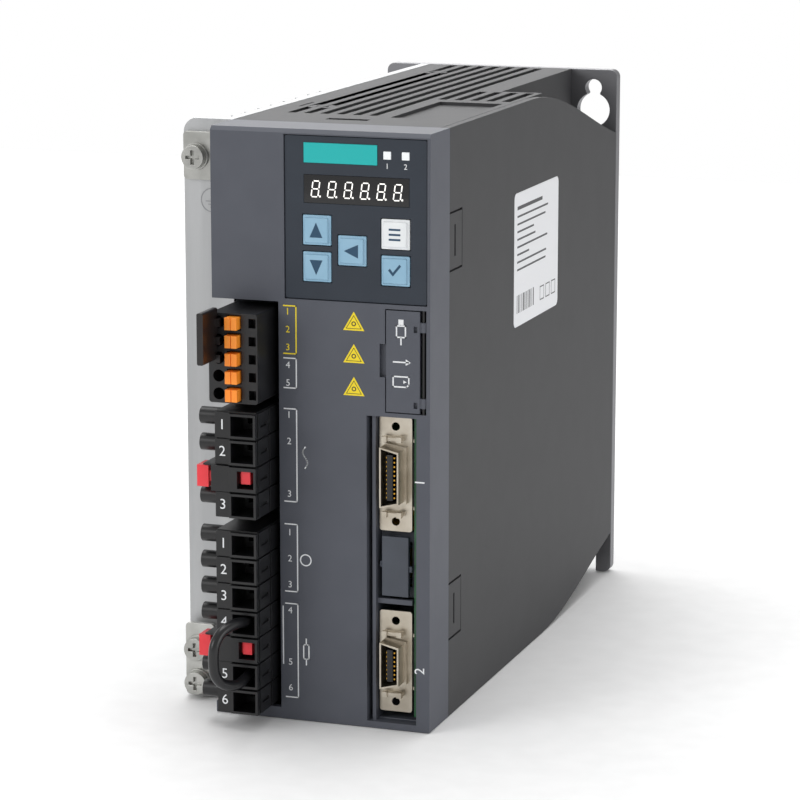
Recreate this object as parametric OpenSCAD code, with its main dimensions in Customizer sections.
// Compact servo drive: a plastic housed electronic drive on an aluminium heat sink,
// with pluggable power terminals, a small key panel and two ribbon-type sockets.
// Frame: +Z up, the front faces -Y, +X to the right, origin under the centre of the box.
// Every module draws in the datum frame: X from the left edge, Y back from the cover's
// front face, Z up from the lower edge. from_datum() then places it in the frame above.

/* [Body] */
// Overall width
width = 80; // [78:0.5:84]
// Overall height
height = 170; // [168:0.5:176]
// Depth from the cover's front face to the back of the rear plate
depth = 195; // [190:1:210]
// Width of the heat sink on the left
sink_w = 15; // [14:0.5:16]
// Depth of the front cover
cover_depth = 17; // [16:0.5:18]
// Wall thickness of the moulded housings
wall = 2.2; // [1.8:0.1:2.4]
// Thickness of the rear mounting plate
plate_t = 4; // [3:0.5:5]

/* [Rear plate] */
// Distance of the fixing holes from each side edge
fix_inset = 8; // [7:0.5:9]
// Radius of a keyhole's small end and half width of a slot
fix_r = 2.75; // [2.2:0.05:3]
// Radius of a keyhole's large end
keyhole_r = 5.5; // [4.5:0.5:6]
// Height of the keyhole's small end
keyhole_z = 164; // [162:0.5:164]
// Distance between the upper and lower fixings
fix_pitch_z = 153; // [150:0.5:154]

/* [Heat sink] */
// Number of fins
fin_count = 8; // [6:1:11]
// Distance from fin to fin
fin_pitch = 10.5; // [9:0.5:11.5]
// Fin thickness
fin_t = 2; // [1.5:0.1:2.5]

/* [Key panel] */
// Width of a key cap
key_w = 8.3; // [8:0.1:8.4]
// Height of a key cap
key_h = 8.4; // [8:0.1:8.5]
// How far a key goes in
key_travel = 0.8; // [0.5:0.1:0.9]

/* [Power plugs] */
// Distance from pole to pole of the power plugs
pole_pitch = 7.62; // [7.62:0.01:7.62]
// Height of the line plug's upper pole
line_top_z = 88.1; // [87.5:0.1:88.5]
// Height of the motor plug's upper pole
motor_top_z = 54; // [53.5:0.1:54.5]
// How far the power plugs stand in front of the cover
plug_out = 15; // [13:0.5:16]

/* [Control plug] */
// Distance from pole to pole of the five-pole plug
sto_pitch = 5.08; // [5.08:0.01:5.08]
// Height of the five-pole plug's upper pole
sto_top_z = 116.9; // [116.5:0.1:117]
// How far the five-pole plug stands in front of the cover
sto_out = 12; // [10:0.5:13]

/* [Hidden] */
$fn = 32;

// The jumper wire's bow stands this far in front of the cover, its radius included
wire_r = 1.5;
bow_out = 27;
front_most = bow_out + wire_r;
box_mid_y = (depth - front_most) / 2;
// Small clearances
fit = 0.15;
gap = 0.4;
// Planes along Y
flange_y = cover_depth - 0.4;
plate_y = depth - plate_t;
shell_end = plate_y - 0.2;
// Roof: the high part ends at step_x, the low part's fall starts at fall_y
step_x = 64.5;
fall_y = 97;
fall_z = 20.6;
rise_y = 110;
rise_z = 14;
roof_t = 2.5;
low_roof_y = 114;
// Rating label on the right side
label_y = [78, 124];
label_z = [103, 143.5];
label_t = 0.15;
roof_right = width - 2.5;
// Recess and openings of the front cover, as [low, high]
hmi_x = [37, 79.1];
hmi_z = [122.4, 168.5];
door_x = [67.1, 77];
door_z = [92.1, 120.8];
slot_x = [61.3, 76];
slot_z = [1.9, 90.6];
bay_x1 = 35.1;
bay_z = [3.3, 121.4];
// Key panel
panel_y = 0.4;
panel_t = 2;
key_proud = 0.9;
key_places = [[46.7, 142.1], [46.7, 131.8], [57.1, 136.8], [69.8, 142], [69.8, 131.8]];
window_x = [42.8, 73.8];
window_z = [149.6, 157.6];
lamp_xs = [67.35, 72.7];
lamp_z = 163.7;
lamp_size = 2.3;
// Boards
pcb_t = 1.6;
power_x = 29;
control_x = 74;
post_places = [[36, 12], [36, 152], [140, 40], [110, 134]];
// Ribbon sockets on the control board's left face
socket_x = [63.9, 73.6];
socket_y = 3.5;
encoder_z = [57.2, 90.1];
io_z = [4.4, 34];
// Door hinge
hinge_x = 78;
hinge_y = 0.6;
hinge_pin_r = 0.45;
// Power plugs
plug_x = [21.2, 33.8];
pocket_x = [25.7, 33.8];
plug_back = 8;
line_kinds = [1, 1, 0, 1];
motor_kinds = [1, 1, 1, 1, 0, 1, 1];
barrel_r = 2.45;
barrel_x = 14.6;
barrel_y = -7;
// Five-pole plug
sto_x = [18.9, 33.5];
sto_count = 5;
funnel_x = 21.9;
button_x = [24.7, 28.3];
// Jumper wire from the fourth to the sixth motor pole, points in the datum frame
wire_route = [[29.75, -5.3], [29.75, -10], [29.7, -15], [29.2, -18], [28, -21], [26.6, -24], [25.7, -26.2],
    [25.4, -27], [25.4, -27], [25.7, -26.2], [26.6, -24], [28, -21], [29.2, -18], [29.7, -15],
    [29.75, -10], [29.75, -5.3]];
wire_heights = [31.1, 31.3, 31.9, 32.4, 32.1, 30.7, 28.1, 25.1, 21.9, 18.9, 16.3, 14.9, 14.6, 15.1,
    15.7, 15.9];
// Earth screws: height of each, and the front face that its washer lies on
screw_x = 4.4;
screw_heights = [159.2, 14.8, 4.6];
screw_faces = [flange_y - 1.6, flange_y - 4.6, flange_y - 4.6];
screw_r = 1.6;
head_r = 3.4;

// ---------- helpers ----------

module from_datum() translate([-width / 2, -box_mid_y, 0]) children();

// A box from low and high ends along each axis
module block(x, y, z) translate([x[0], y[0], z[0]]) cube([x[1] - x[0], y[1] - y[0], z[1] - z[0]]);

// A box with its four upright edges, along Y, rounded
module round_block(x, y, z, r) translate([0, y[1], 0]) rotate([90, 0, 0])
    linear_extrude(y[1] - y[0]) round_rect(x, z, r);

module round_rect(x, z, r) {
    translate([x[0] + r, z[0]]) square([x[1] - x[0] - 2 * r, z[1] - z[0]]);
    translate([x[0], z[0] + r]) square([x[1] - x[0], z[1] - z[0] - 2 * r]);
    for (cx = [x[0] + r, x[1] - r], cz = [z[0] + r, z[1] - r]) translate([cx, cz]) circle(r);
}

// A round rod along Y from y0 to y1, at [x, z]
module rod_y(x, z, r, y0, y1) translate([x, y1, z]) rotate([90, 0, 0]) cylinder(h = y1 - y0, r = r);

// A round rod along X from x0 to x1, at [y, z]
module rod_x(y, z, r, x0, x1) translate([x0, y, z]) rotate([0, 90, 0]) cylinder(h = x1 - x0, r = r);

function grown(range, by) = [range[0] - by, range[1] + by];

// ---------- body and covers ----------

// Eased fall from 0 to 1: slow at first, steep, then slow again
function eased(t) = (t * t + 3 * t * t - 2 * t * t * t) / 2;
function roof_height(y) = height - (y < fall_y ? 0 : fall_z * eased((y - fall_y) / (shell_end - fall_y)));
function floor_height(y) = y < rise_y ? 0 : rise_z * eased((y - rise_y) / (shell_end - rise_y));

// Side outline of the housing, drawn in by an even margin
module side_outline(margin, y0, y1) polygon(concat(
    [[y0, margin]],
    [for (i = [0:12]) let (y = rise_y + (y1 - rise_y) * i / 12) [y, floor_height(y) + margin]],
    [for (i = [0:12]) let (y = y1 + (fall_y - y1) * i / 12) [y, roof_height(y) - margin]],
    [[y0, height - margin]]));

module side_prism(margin, y0, y1, x0, x1) translate([x0, 0, 0]) rotate([90, 0, 90])
    linear_extrude(x1 - x0) side_outline(margin, y0, y1);

// One snap tab in the housing's side: its outline grooves and the slot inside it
module tab_cut(z0) {
    tab_h = 17;
    block([width - 0.8, width + 1], [cover_depth, 28.3], [z0, z0 + 0.6]);
    block([width - 0.8, width + 1], [cover_depth, 28.3], [z0 + tab_h - 0.6, z0 + tab_h]);
    block([width - 0.35, width + 1], [27.9, 28.3], [z0, z0 + tab_h]);
    block([width - 1.2, width + 1], [21.2, 22.3], [z0 + 4, z0 + tab_h - 4]);
}

module housing() color("#545456") from_datum() difference() {
    side_prism(0, cover_depth, shell_end, sink_w + fit, width);
    side_prism(wall, cover_depth - 1, shell_end - wall, 0, width - wall);
    block([0, step_x + fit], [0, depth], [roof_height(shell_end) - wall - 6, height + 1]);
    block([0, roof_right + fit], [0, low_roof_y + fit], [height - 12, height + 1]);
    for (z0 = [22.6, 129.4]) tab_cut(z0);
    translate([width - label_t, 0, 0]) rotate([90, 0, 90]) linear_extrude(1)
        round_rect(grown(label_y, 0.05), grown(label_z, 0.05), 2);
}

// Roof slots: left edge of the first, pitch and width; the ribs below stand a wider pitch apart
slot_x0 = 23.1;
slot_pitch = 5;
slot_t = 2.5;
rib_z = [height - 6, height - 1.1];
function rib_y(i) = 47 + 13.9 * i;

// Long slots between slats, parallel to Y
module slot_row(x0, pitch, count, slot_w, y) for (i = [0:count - 1])
    block([x0 + i * pitch, x0 + i * pitch + slot_w], y, [height - 10, height + 1]);

module roof_boss(x, y, r) translate([x, y, height - roof_t]) difference() {
    cylinder(h = roof_t - 0.1, r = r);
    translate([0, 0, roof_t - 1.2]) cylinder(h = 2, r = 0.45 * r);
}

module top_grille() color("#77777a") from_datum() {
    difference() {
        union() {
            block([sink_w + fit, step_x], [cover_depth + fit, shell_end], [height - roof_t, height]);
            block([step_x - 1, roof_right], [cover_depth + fit, low_roof_y], [height - roof_t, height]);
        }
        slot_row(slot_x0, slot_pitch, 6, slot_t, [38.8, 189]);
        slot_row(slot_x0 + 6 * slot_pitch, slot_pitch, 1, slot_t, [86.2, 187]);
        slot_row(slot_x0 + 7 * slot_pitch, slot_pitch, 4, slot_t, [86.2, 111.8]);
        block([55.8, 75.2], [36, 80.5], [height - 1, height + 1]);
        block([61.5, 69.7], [36.6, 38.6], [height - 10, height + 1]);
        block([39.7, 52.2], [25.5, 29], [height - 2.2, height + 1]);
        block([20.2, 20.9], [55.3, 67.2], [height - 0.6, height + 1]);
    }
    // Cross ribs a little under the slats
    for (i = [0:9]) block([slot_x0 - 1, i < 3 ? 51.6 : 56.6], [rib_y(i), rib_y(i) + 3], rib_z);
    for (i = [3:4]) block([56.5, roof_right], [rib_y(i), rib_y(i) + 3], rib_z);
    roof_boss(26.8, 57.8, 4.4);
    roof_boss(25.2, 166, 4.2);
    block([step_x - wall, step_x], [fall_y + 8, shell_end], [144, height - roof_t]);
    block([sink_w + fit, step_x - wall], [shell_end - wall, shell_end], [144, height - roof_t]);
    block([sink_w + fit, sink_w + fit + 1.6], [40, shell_end - wall], [height - 6, height - roof_t]);
}

module front_cover() color("#575a60") from_datum() {
    difference() {
        block([sink_w, width], [0, cover_depth], [0, height]);
        block([sink_w + wall, width - wall], [2.6, cover_depth + 1], [wall, height - wall]);
        block(hmi_x, [-1, panel_y + panel_t + 1], hmi_z);
        block([door_x[0] - 0.3, 78.9], [-1, 4], grown(door_z, 0.3));
        block([65.2, 69], [-1, 1.4], [101.8, 111.2]);
        block(slot_x, [-1, 4], slot_z);
        block([sink_w - 1, bay_x1], [-1, cover_depth + 1], bay_z);
        translate([0, 0, height]) rotate([45, 0, 0]) cube([3 * width, 1.6, 1.6], center = true);
    }
    block([hmi_x[0] - 1.6, hmi_x[0]], [2.4, 5], hmi_z);
    block([hmi_x[0] - 1.6, width - 1], [2.4, 5], [hmi_z[0] - 1, hmi_z[0]]);
    block([bay_x1, bay_x1 + 1.6], [0, cover_depth - 0.6], [bay_z[0] - 1, bay_z[1] + 1.6]);
    block([sink_w, bay_x1 + 0.5], [0, cover_depth - 0.6], [bay_z[1], bay_z[1] + 1.6]);
    block([slot_x[0] - 1.4, slot_x[0]], [2.4, 14], [1, slot_z[1] + 1]);
    block([62.4, 63.5], [1.5, 14], [1, slot_z[1] + 0.2]);
    block([63.4, control_x - fit], [3, 4.4], [36, 37.5]);
    difference() {
        block([63.4, control_x - fit], [6.6, 8], [37.4, 56.6]);
        block([65.6, 72.6], [6, 9], [40.4, 53.6]);
    }
}

module heat_sink() color("#c3c3c3") from_datum() difference() {
    union() {
        block([sink_w - 3, sink_w], [flange_y, plate_y], [0, height]);
        block([3, sink_w - 1], [flange_y, flange_y + 3], [0, height]);
        block([0, 4], [flange_y, flange_y + 3], [0, height - 4]);
        rod_y(4, height - 4, 4, flange_y, flange_y + 3);
        for (i = [0:fin_count - 1]) {
            y = 50.5 + i * fin_pitch;
            block([0.6, sink_w - 2], [y, y + fin_t], [3, height - 3]);
        }
    }
    for (z = screw_heights) rod_y(screw_x, z, screw_r + 0.05, flange_y - 1, flange_y + 4);
}

module keyhole(x) {
    rod_y(x, keyhole_z, fix_r, plate_y - 1, depth + 1);
    rod_y(x, keyhole_z - 7.3, keyhole_r, plate_y - 1, depth + 1);
    block([x - 2.2, x + 2.2], [plate_y - 1, depth + 1], [keyhole_z - 5, keyhole_z]);
}

module foot_slot(x) {
    rod_y(x, keyhole_z - fix_pitch_z, fix_r, plate_y - 1, depth + 1);
    block([x - fix_r, x + fix_r], [plate_y - 1, depth + 1], [-1, keyhole_z - fix_pitch_z]);
}

module rear_plate() color("#8a8a8c") from_datum() difference() {
    round_block([0, width], [plate_y, depth], [0, height], 2.5);
    for (x = [fix_inset, width - fix_inset]) {
        keyhole(x);
        foot_slot(x);
    }
}

// ---------- key panel ----------

module hmi_panel() color("#3b4450") from_datum() difference() {
    round_block(grown(hmi_x, -0.2), [panel_y, panel_y + panel_t], grown(hmi_z, -0.2), 0.6);
    block(window_x, [0, 4], window_z);
    for (x = lamp_xs) block([x - lamp_size / 2, x + lamp_size / 2], [0, 4], [lamp_z - 1.15, lamp_z + 1.15]);
    for (p = key_places) block([p[0] - key_w / 2 - gap / 2, p[0] + key_w / 2 + gap / 2], [0, 4],
        [p[1] - key_h / 2 - gap / 2, p[1] + key_h / 2 + gap / 2]);
    block([42.8, 64.5], [0, panel_y + 0.3], [160.8, 166.5]);
}

module badge() color("#00a0a0") from_datum()
    block([42.85, 64.45], [panel_y - 0.15, panel_y + 0.3], [160.85, 166.45]);

module display_window() color("#101014") from_datum()
    block(grown(window_x, -0.05), [panel_y, panel_y + 1.2], grown(window_z, -0.05));

module display_module() color("#202022") from_datum() {
    block([43, 73.6], [panel_y + 1.3, 6.6], [150, 157.2]);
    for (i = [0:5]) block([43.6 + i * 4.9, 47.6 + i * 4.9], [panel_y + 1.2, panel_y + 1.4], [150.6, 156.6]);
}

module light_pipes() color("#e8eaec") from_datum() for (x = lamp_xs)
    block([x - 1.1, x + 1.1], [panel_y - 0.1, 6.6], [lamp_z - 1.1, lamp_z + 1.1]);

// One key: a cap with bevelled edges, and the flange that holds it behind the panel
module key_cap(i, shade) color(shade) from_datum() translate([key_places[i][0], 0, key_places[i][1]]) {
    block([-key_w / 2, key_w / 2], [panel_y - 0.2, panel_y + panel_t + 0.9], [-key_h / 2, key_h / 2]);
    block([-key_w / 2 + 0.7, key_w / 2 - 0.7], [panel_y - key_proud, panel_y],
        [-key_h / 2 + 0.7, key_h / 2 - 0.7]);
    block([-key_w / 2 - 0.6, key_w / 2 + 0.6], [3.1, 3.9], [-key_h / 2 - 0.6, key_h / 2 + 0.6]);
}

module key_up() key_cap(0, "#8fb6cf");
module key_down() key_cap(1, "#8fb6cf");
module key_left() key_cap(2, "#8fb6cf");
module key_menu() key_cap(3, "#e9ecee");
module key_ok() key_cap(4, "#8fb6cf");

// Silicone mat with one dome under each key
module key_mat() color("#b8bcc0") from_datum() {
    block([41.5, 75.4], [5.6, 6.6], [126.6, 147.4]);
    for (p = key_places) rod_y(p[0], p[1], 2.4, 4.9, 5.8);
}

module hmi_board() color("#1f6b3a") from_datum()
    block([40, 77], [6.6, 6.6 + pcb_t], [124.6, 166.4]);

// ---------- boards and what they carry ----------

module control_board() color("#1f6b3a") from_datum() translate([control_x, 0, 0]) difference() {
    rotate([90, 0, 90]) linear_extrude(pcb_t)
        polygon([[4.2, 3], [4.2, 90], [9, 92], [9, 120.5], [13, 124], [13, 162], [112, 162],
            [150, 146], [150, 14], [106, 3]]);
    for (p = post_places) rod_x(p[0], p[1], 1.6, -1, pcb_t + 1);
}

module power_board() color("#1f6b3a") from_datum() difference() {
    translate([power_x, 0, 0]) rotate([90, 0, 90]) linear_extrude(pcb_t)
        polygon([[17, 4], [112, 4], [150, 12], [182, 20], [182, 163], [17, 163]]);
    for (p = post_places) rod_x(p[0], p[1], 1.6, power_x - 1, power_x + 3);
}

module standoffs() color("#b9bcc0") from_datum() for (p = post_places) difference() {
    translate([power_x + pcb_t, p[0], p[1]]) rotate([0, 90, 0])
        cylinder(h = control_x - power_x - pcb_t, r = 3.2, $fn = 6);
    rod_x(p[0], p[1], 1.25, power_x, control_x + 1);
}

module board_screws() color("#b0b3b6") from_datum() for (p = post_places) {
    rod_x(p[0], p[1], 1.2, power_x - 0.1, power_x + 8);
    difference() {
        rod_x(p[0], p[1], 2.6, power_x - 2, power_x);
        block([power_x - 3, power_x - 1.1], [p[0] - 2, p[0] + 2], [p[1] - 0.4, p[1] + 0.4]);
        block([power_x - 3, power_x - 1.1], [p[0] - 0.4, p[0] + 0.4], [p[1] - 2, p[1] + 2]);
    }
    rod_x(p[0], p[1], 1.2, control_x - 6, control_x + pcb_t);
    rod_x(p[0], p[1], 2.4, control_x + pcb_t, control_x + pcb_t + 1.4);
}

// Three DC link capacitors lying along X, with their vent crosses
module dc_link_capacitors() color("#2b3b6b") from_datum() for (z = [34, 60, 110]) difference() {
    rod_x(162, z, 11, power_x + pcb_t, power_x + pcb_t + 38);
    block([power_x + 39.2, power_x + 40], [156, 168], [z - 0.4, z + 0.4]);
    block([power_x + 39.2, power_x + 40], [161.6, 162.4], [z - 6, z + 6]);
}

module power_module() color("#26262a") from_datum() {
    block([sink_w + 0.5, sink_w + 8.5], [66, 138], [52, 122]);
    for (y = [70:8:134], z = [54.5, 119.5]) rod_x(y, z, 0.6, sink_w + 8, power_x);
}

module thermal_pad() color("#9aa7b5") from_datum()
    block([sink_w, sink_w + 0.5], [66, 138], [52, 122]);

// Ring core choke with its winding, axis along X
module filter_choke() color("#8c5a2b") from_datum() translate([power_x + pcb_t, 56, 44]) rotate([0, 90, 0]) {
    rotate_extrude() translate([7, 0]) square([7, 12]);
    for (i = [0:11]) rotate([0, 0, 30 * i]) translate([5.8, -1, 0]) cube([9.4, 2, 13]);
}

module transformer() color("#c9a227") from_datum() {
    block([power_x + pcb_t, power_x + pcb_t + 22], [84, 112], [18, 42]);
    block([power_x + pcb_t + 5, power_x + pcb_t + 17], [81, 115], [22, 38]);
}

module relays() color("#1d3f8a") from_datum() for (z = [84, 104])
    block([power_x + pcb_t, power_x + pcb_t + 15], [42, 60], [z, z + 13]);

// ---------- ribbon-type sockets ----------

// Metal shell: face plate with two screw holes, a D-shaped collar and two latch ears
module ribbon_shell(z, collar_h, hole_inset) color("#c9c4ba") from_datum() {
    mid_z = (z[0] + z[1]) / 2;
    mid_x = (socket_x[0] + socket_x[1]) / 2;
    reach = (z[1] - z[0]) / 2 - hole_inset;
    difference() {
        round_block(socket_x, [socket_y, socket_y + 1], z, 0.8);
        for (s = [-1, 1]) rod_y(mid_x, mid_z + s * reach, 1.2, socket_y - 1, socket_y + 2);
        block([mid_x - 2.4, mid_x + 2.4], [socket_y - 1, socket_y + 2],
            [mid_z - collar_h / 2, mid_z + collar_h / 2]);
    }
    difference() {
        union() {
            d_prism(mid_x, mid_z, 2.85, collar_h / 2 + 0.5, socket_y - 6, socket_y + 0.2);
            d_prism(mid_x, mid_z, 3.6, collar_h / 2 + 1.1, socket_y - 1.4, socket_y + 0.2);
        }
        d_prism(mid_x, mid_z, 2.35, collar_h / 2, socket_y - 7, socket_y + 1);
    }
    // Latch ears above and below the collar
    for (zc = [mid_z + collar_h / 2 + 2.1, mid_z - collar_h / 2 - 3.1]) translate([0, 0, zc]) {
        block([mid_x - 3.4, mid_x + 2.4], [socket_y - 2, socket_y + 0.1], [-0.5, 0.5]);
        for (x = [mid_x - 3.4, mid_x + 1])
            block([x, x + 1.5], [socket_y - 2.6, socket_y - 1.4], [-0.8, 0.8]);
    }
    for (s = [-1, 1]) translate([0, 0, mid_z + s * (collar_h / 2 + 1.5)])
        block([socket_x[0] + 1, control_x], [socket_y + 0.9, socket_y + 11], [-0.5, 0.5]);
}

// D-shaped prism along Y: the left side is shorter than the right
module d_prism(x, z, half_w, half_h, y0, y1) translate([x, y1, z]) rotate([90, 0, 0]) linear_extrude(y1 - y0)
    polygon([[-half_w, half_h], [-half_w, -half_h], [half_w, -half_h + 1.2], [half_w, half_h - 1.2]]);

// Moulded insert: a tongue with two rows of contacts inside the collar
module ribbon_insert(z, collar_h, pins) color("#1c1c20") from_datum() {
    mid_z = (z[0] + z[1]) / 2;
    mid_x = (socket_x[0] + socket_x[1]) / 2;
    pitch = 1.27;
    block([socket_x[0] + 1.2, control_x - fit], [socket_y + 1, socket_y + 10],
        [mid_z - collar_h / 2 - 0.8, mid_z + collar_h / 2 + 0.8]);
    d_prism(mid_x, mid_z, 2.2, collar_h / 2 - 0.3, socket_y - 0.5, socket_y + 1.1);
    block([mid_x - 0.9, mid_x + 0.9], [socket_y - 5.2, socket_y],
        [mid_z - pins * pitch / 2 - 0.2, mid_z + pins * pitch / 2 + 0.2]);
    for (i = [0:pins - 1], s = [-1, 1]) translate([mid_x + s, 0, mid_z + (i - (pins - 1) / 2) * pitch])
        block([-0.25, 0.25], [socket_y - 4.8, socket_y], [-0.3, 0.3]);
}

module encoder_shell() ribbon_shell(encoder_z, 16.4, 2.8);
module encoder_insert() ribbon_insert(encoder_z, 16.4, 10);
module io_shell() ribbon_shell(io_z, 12.6, 2.9);
module io_insert() ribbon_insert(io_z, 12.6, 7);

module blank_port_cap() color("#4a4d55") from_datum() {
    block([64.9, 72.9], [2.4, 4], [38.4, 55.8]);
    block([64.1, 65], [2.9, 4], [46.6, 48.4]);
    block([72.8, 73.8], [2.9, 4], [45.6, 47.4]);
    for (z = [41.2, 51.4]) {
        block([66.2, 72], [3.9, 9], [z, z + 1.4]);
        block([66.2, 72], [8.3, 9], z < 45 ? [z - 0.5, z + 0.1] : [z + 1.3, z + 1.9]);
    }
}

module usb_socket() color("#b7babd") from_datum() difference() {
    block([69.4, control_x], [8.6, 17], [107.4, 115.4]);
    block([70.4, control_x - 1], [7, 15.5], [108.4, 114.4]);
    block([71.6, control_x - 0.4], [7, 15.6], [109.2, 113.6]);
}

module card_socket() color("#a9acb0") from_datum() difference() {
    block([control_x - 3, control_x], [8.6, 21], [93.6, 105.2]);
    block([control_x - 2.2, control_x - 1], [7, 19], [94.6, 104.2]);
}

module port_door() color("#54575e") from_datum() {
    difference() {
        union() {
            block(door_x, [0, 1.8], door_z);
            for (z = [95, 116.4]) block([door_x[1] - 0.5, hinge_x], [0.1, 1.2], [z - 1.4, z + 1.4]);
            for (z = [95, 116.4]) translate([hinge_x, hinge_y, z - 1.4]) cylinder(h = 2.8, r = 0.9);
        }
        translate([hinge_x, hinge_y, door_z[0]]) cylinder(h = 40, r = hinge_pin_r + 0.05);
        for (z = [95, 116.4]) block([door_x[1] - 1.8, door_x[1] - 0.7], [-1, 0.9], [z - 1.5, z + 0.2]);
    }
    block([door_x[0] + 1, door_x[0] + 2.2], [1.7, 3.4], [103, 110]);
}

module door_hinge_pin() color("#9a9da0") from_datum()
    translate([hinge_x, hinge_y, door_z[0] - 0.3]) cylinder(h = door_z[1] - door_z[0] + 0.6, r = hinge_pin_r);

// ---------- power plugs ----------

function pole_z(top_z, i) = top_z - i * pole_pitch;
function plug_z(top_z, count) = [pole_z(top_z, count - 1) - pole_pitch / 2, top_z + pole_pitch / 2];

// Right wall of a header, with one rounded lobe in front for each pole
module header_wall(z, heights, r) {
    block([34.1, 34.9], [2 + r, 17 - fit], z);
    for (h = heights) rod_x(2.4 + r, h, r, 34.1, 34.9);
}

// Fixed header: a block on the power board with one blade for each pole
module power_header(top_z, kinds) color("#1d1d20") from_datum() {
    z = plug_z(top_z, len(kinds));
    block([plug_x[0] - 2, power_x - fit], [plug_back + 0.6, 30], z);
    block([power_x - 1, plug_x[1] + 0.6], [plug_back + 0.6, 17 - fit], z);
    for (i = [0:len(kinds) - 1]) if (kinds[i] == 1) translate([0, 0, pole_z(top_z, i)])
        block([28.2, 30.8], [-1, plug_back + 1], [-0.4, 0.4]);
    header_wall(z, [for (i = [0:len(kinds) - 1]) pole_z(top_z, i)], 3.5);
}

// Pluggable connector: wire sockets in front, actuator barrels on the left
module power_plug(top_z, kinds) color("#232326") from_datum() {
    z = plug_z(top_z, len(kinds));
    difference() {
        union() {
            block([plug_x[0], plug_x[1] - 0.5], [-plug_out + 2, plug_back], z);
            for (i = [0:len(kinds) - 1]) translate([0, 0, pole_z(top_z, i)]) {
                block(pocket_x, [-plug_out, plug_back - 5], [-3.5, 3.5]);
                if (kinds[i] == 1) block([plug_x[0], pocket_x[0] + 0.1], [-plug_out + 1.2, 0], [-3.6, 3.6]);
                if (kinds[i] == 0)
                    block([plug_x[0] - 1, pocket_x[0] + 0.1], [-plug_out + 0.4, 0], [-3.7, 3.7]);
            }
        }
        for (i = [0:len(kinds) - 1]) translate([0, 0, pole_z(top_z, i)]) {
            if (kinds[i] == 1) {
                block([26.4, 33.1], [-plug_out - 1, -plug_out + 10], [-2.8, 2.8]);
                block([27.6, 31.4], [-plug_out + 9, plug_back + 1], [-1, 1]);
            }
            if (kinds[i] == 0) {
                block([28.2, 33.1], [-plug_out - 1, -plug_out + 7], [-2.5, 2.5]);
                block([plug_x[0] - 3, 29], [-plug_out + 2.4, -plug_out + 6.6], [-2, 2]);
            }
            // Grooves in the right side
            block([pocket_x[1] - 0.5, pocket_x[1] + 1], [-13.4, -12.7], [-3.6, 3.6]);
            block([pocket_x[1] - 0.5, pocket_x[1] + 1], [-11, -6], [-0.7, 0.3]);
            block([pocket_x[1] - 0.5, pocket_x[1] + 1], [-4.6, -3.9], [-3.6, 3.6]);
        }
    }
    for (i = [0:len(kinds) - 1]) translate([0, 0, pole_z(top_z, i)]) {
        if (kinds[i] == 1) rod_x(barrel_y, 1, barrel_r, barrel_x, plug_x[0] + 1);
        if (kinds[i] == 0) block([17.4, plug_x[0]], [-13.4, -5], [3.3, 3.8]);
    }
}

// Bent metal clamp inside each wire socket
module clamps(top_z, kinds) color("#b9b3a2") from_datum() for (i = [0:len(kinds) - 1]) if (kinds[i] == 1)
    translate([0, 0, pole_z(top_z, i)]) {
        block([32.5, 33.1], [-plug_out + 2.5, -plug_out + 10], [-1.2, 2.8]);
        block([31.2, 33.1], [-plug_out + 2.5, -plug_out + 10], [2.3, 2.8]);
    }

// Red release slider: the head to press on the left, the hook seen in the window
module release_slider(z) color("#d8232a") from_datum() {
    block([15.2, 18.7], [-12.8, -6.6], [z - 3.1, z + 3.1]);
    block([18.6, 30.6], [-12.2, -8.9], [z - 1.5, z + 1.5]);
    block([28.9, 31.7], [-13.6, -8.9], [z - 1.4, z + 2.2]);
}

module line_header() power_header(line_top_z, line_kinds);
module line_plug() power_plug(line_top_z, line_kinds);
module line_clamps() clamps(line_top_z, line_kinds);
module line_release() release_slider(pole_z(line_top_z, 2));
module motor_header() power_header(motor_top_z, motor_kinds);
module motor_plug() power_plug(motor_top_z, motor_kinds);
module motor_clamps() clamps(motor_top_z, motor_kinds);
module motor_release() release_slider(pole_z(motor_top_z, 4));

// ---------- five-pole control plug ----------

function sto_z(i) = sto_top_z - i * sto_pitch;
sto_range = [sto_z(sto_count - 1) - 2.6, sto_z(0) + 2.6];

module sto_header() color("#1d1d20") from_datum() {
    block([sto_x[0], power_x - fit], [plug_back + 0.6, 26], sto_range);
    block([power_x - 1, plug_x[1] + 0.6], [plug_back + 0.6, 17 - fit], sto_range);
    for (i = [0:sto_count - 1]) rod_y(29.6, sto_z(i), 0.5, 0, plug_back + 1);
    header_wall(sto_range, [for (i = [0:sto_count - 1]) sto_z(i)], 2.2);
}

module sto_plug() color("#242428") from_datum() difference() {
    round_block(sto_x, [-sto_out, plug_back], sto_range, 0.8);
    for (i = [0:sto_count - 1]) {
        rod_y(funnel_x, sto_z(i), 1.7, -sto_out - 1, -sto_out + 8);
        block([30.9, 33], [-sto_out - 1, -sto_out + 4], [sto_z(i) - 1.3, sto_z(i) + 1.3]);
        block(grown(button_x, 0.35), [-sto_out - 1, -2], [sto_z(i) - 2.1, sto_z(i) + 2.1]);
        rod_y(29.6, sto_z(i), 0.9, -1.6, plug_back + 1);
    }
}

module sto_button(i) color("#f08a24") from_datum() translate([0, 0, sto_z(i)]) {
    block([button_x[0], 26.4], [-sto_out - 2.6, -6], [-1.75, 1.75]);
    block([26.6, button_x[1]], [-sto_out - 2.6, -6], [-1.75, 1.75]);
    block([26.2, 26.8], [-sto_out - 2, -6], [-1.75, 1.75]);
}

module sto_button_1() sto_button(0);
module sto_button_2() sto_button(1);
module sto_button_3() sto_button(2);
module sto_button_4() sto_button(3);
module sto_button_5() sto_button(4);

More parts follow.
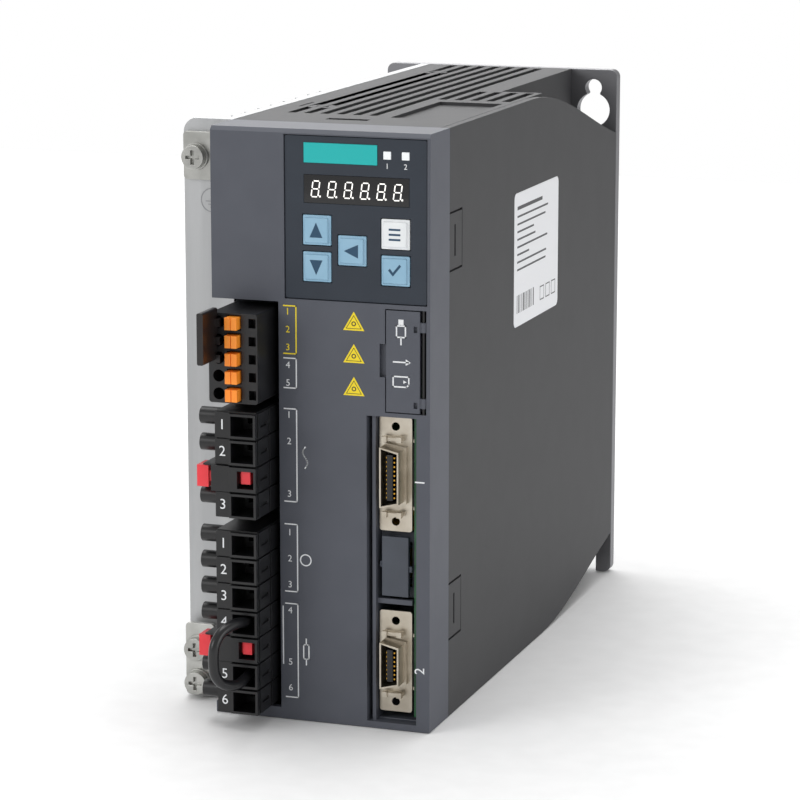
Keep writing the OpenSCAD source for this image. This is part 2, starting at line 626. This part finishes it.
// Bridge link across the upper three poles: an upright grip plate and three round legs
module sto_jumper() color("#3a2d2a") from_datum() {
    round_block([19.8, 21.7], [-22.6, -sto_out - 0.15], [106.3, 120.9], 0.5);
    for (i = [0:2]) {
        block([21, 23], [-sto_out - 1.8, -sto_out - 0.15], [sto_z(i) - 1.1, sto_z(i) + 1.1]);
        rod_y(funnel_x, sto_z(i), 1.1, -sto_out - 1, -sto_out + 7);
    }
}

// ---------- wire, brackets, screws, label ----------

// Sweep of an 8-sided ring along the wire's route; each ring stands across its own stretch
function wire_point(i) = [wire_route[i][0], wire_route[i][1], wire_heights[i]];
function unit(v) = v / norm(v);
function wire_dir(i) = unit(wire_point(min(i + 1, len(wire_route) - 1)) - wire_point(max(i - 1, 0)));
function wire_side(i) = unit(cross(wire_dir(i), [1, 0.3, 0]));
function wire_ring(i) = [for (k = [0:7]) let (a = 45 * k, s = wire_side(i), t = cross(wire_dir(i), s))
    wire_point(i) + wire_r * (cos(a) * s + sin(a) * t)];

module jumper_wire() color("#141416") from_datum() {
    last = len(wire_route) - 1;
    polyhedron(
        points = [for (i = [0:last]) each wire_ring(i)],
        faces = concat(
            [[for (k = [0:7]) k]],
            [for (i = [0:last - 1], k = [0:7])
                [8 * i + k, 8 * i + 8 + k, 8 * i + 8 + (k + 1) % 8, 8 * i + (k + 1) % 8]],
            [[for (k = [0:7]) 8 * last + 7 - k]]));
}

module earth_bracket_top() color("#b4b4b2") from_datum() difference() {
    round_block([0.4, 9.6], [flange_y - 1.6, flange_y], [152.5, 166.4], 1.2);
    rod_y(screw_x, screw_heights[0], screw_r + 0.05, flange_y - 2, flange_y + 1);
}

module earth_bracket_bottom() color("#b4b4b2") from_datum() difference() {
    union() {
        round_block([0.4, 9.6], [flange_y - 4.6, flange_y - 3], [0.4, 22.2], 1.2);
        block([8, 9.6], [flange_y - 3.1, flange_y], [2, 20.6]);
        block([0.4, 8.1], [flange_y - 3.1, flange_y], [8, 11]);
    }
    for (i = [1, 2]) rod_y(screw_x, screw_heights[i], screw_r + 0.05, flange_y - 6, flange_y + 1);
}

module earth_screws() color("#c4c4c2") from_datum() for (i = [0:2]) translate([0, screw_faces[i], 0]) {
    z = screw_heights[i];
    rod_y(screw_x, z, screw_r, -1, flange_y + 3 - screw_faces[i]);
    difference() {
        rod_y(screw_x, z, head_r, -3, -0.8);
        block([screw_x - 2, screw_x + 2], [-4, -1.8], [z - 0.45, z + 0.45]);
        block([screw_x - 0.45, screw_x + 0.45], [-4, -1.8], [z - 2, z + 2]);
    }
}

module earth_washers() color("#a8a8a6") from_datum() for (i = [0:2]) difference() {
    rod_y(screw_x, screw_heights[i], head_r + 0.5, screw_faces[i] - 0.8, screw_faces[i]);
    rod_y(screw_x, screw_heights[i], screw_r + 0.05, screw_faces[i] - 1, screw_faces[i] + 1);
}

module nameplate() color("#b9bbbe") from_datum() translate([width - label_t, 0, 0]) rotate([90, 0, 90])
    linear_extrude(label_t) round_rect(label_y, label_z, 2);

// ---------- node switches ----------

heat_sink();
rear_plate();
housing();
top_grille();
front_cover();
hmi_panel();
badge();
display_window();
display_module();
light_pipes();
key_up();
key_down();
key_left();
key_menu();
key_ok();
key_mat();
hmi_board();
control_board();
power_board();
dc_link_capacitors();
power_module();
thermal_pad();
filter_choke();
transformer();
relays();
standoffs();
board_screws();
encoder_shell();
encoder_insert();
io_shell();
io_insert();
blank_port_cap();
usb_socket();
card_socket();
port_door();
door_hinge_pin();
sto_header();
sto_plug();
sto_jumper();
sto_button_1();
sto_button_2();
sto_button_3();
sto_button_4();
sto_button_5();
line_header();
line_plug();
line_clamps();
line_release();
motor_header();
motor_plug();
motor_clamps();
motor_release();
jumper_wire();
earth_bracket_top();
earth_bracket_bottom();
earth_screws();
earth_washers();
nameplate();
